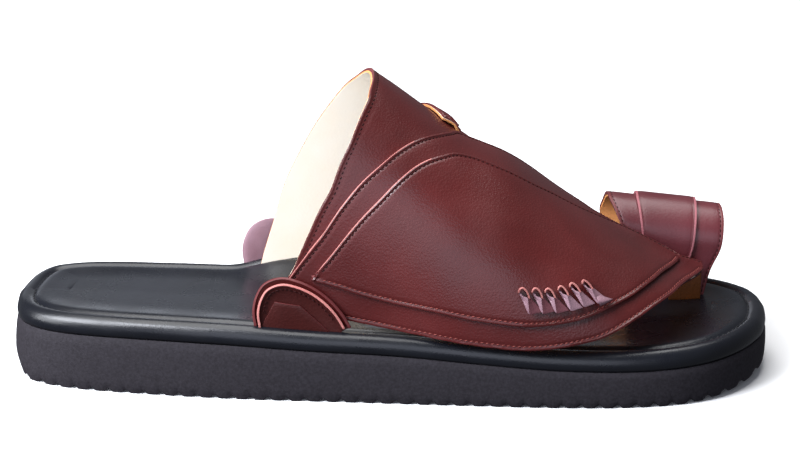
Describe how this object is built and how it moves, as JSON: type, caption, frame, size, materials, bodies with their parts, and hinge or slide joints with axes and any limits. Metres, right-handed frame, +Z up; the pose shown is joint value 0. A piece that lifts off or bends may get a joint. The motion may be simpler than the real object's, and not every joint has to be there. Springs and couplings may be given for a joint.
{
  "type": "arabic sandal with instep band, outer leaves, slot ears, lace braid and toe ring",
  "caption": "Maroon leather arabic sandal, right foot: wide instep band, two outer leaves, slot ears, lace braid, big-toe ring, wrapped footbed on a rippled foam sole",
  "frame": {"origin": "on the floor under the middle of the sole", "axes": "+X to the toe, +Y to the inner (big toe) side of the foot, +Z up"},
  "size_m": [0.2916, 0.1089, 0.1148],
  "materials": {
    "foam": "matte",
    "footbed_leather": "satin",
    "maroon_leather": "satin"
  },
  "bodies": {
    "root": {"outsole": "foam", "footbed": "footbed_leather", "upper": "maroon_leather", "top_leaf": "maroon_leather", "inner_leaf": "maroon_leather", "ear_outer": "maroon_leather", "ear_inner": "maroon_leather", "toe_ring": "maroon_leather", "toe_ring_strap": "maroon_leather", "lace_braid": "maroon_leather"}
  },
  "joints": []
}
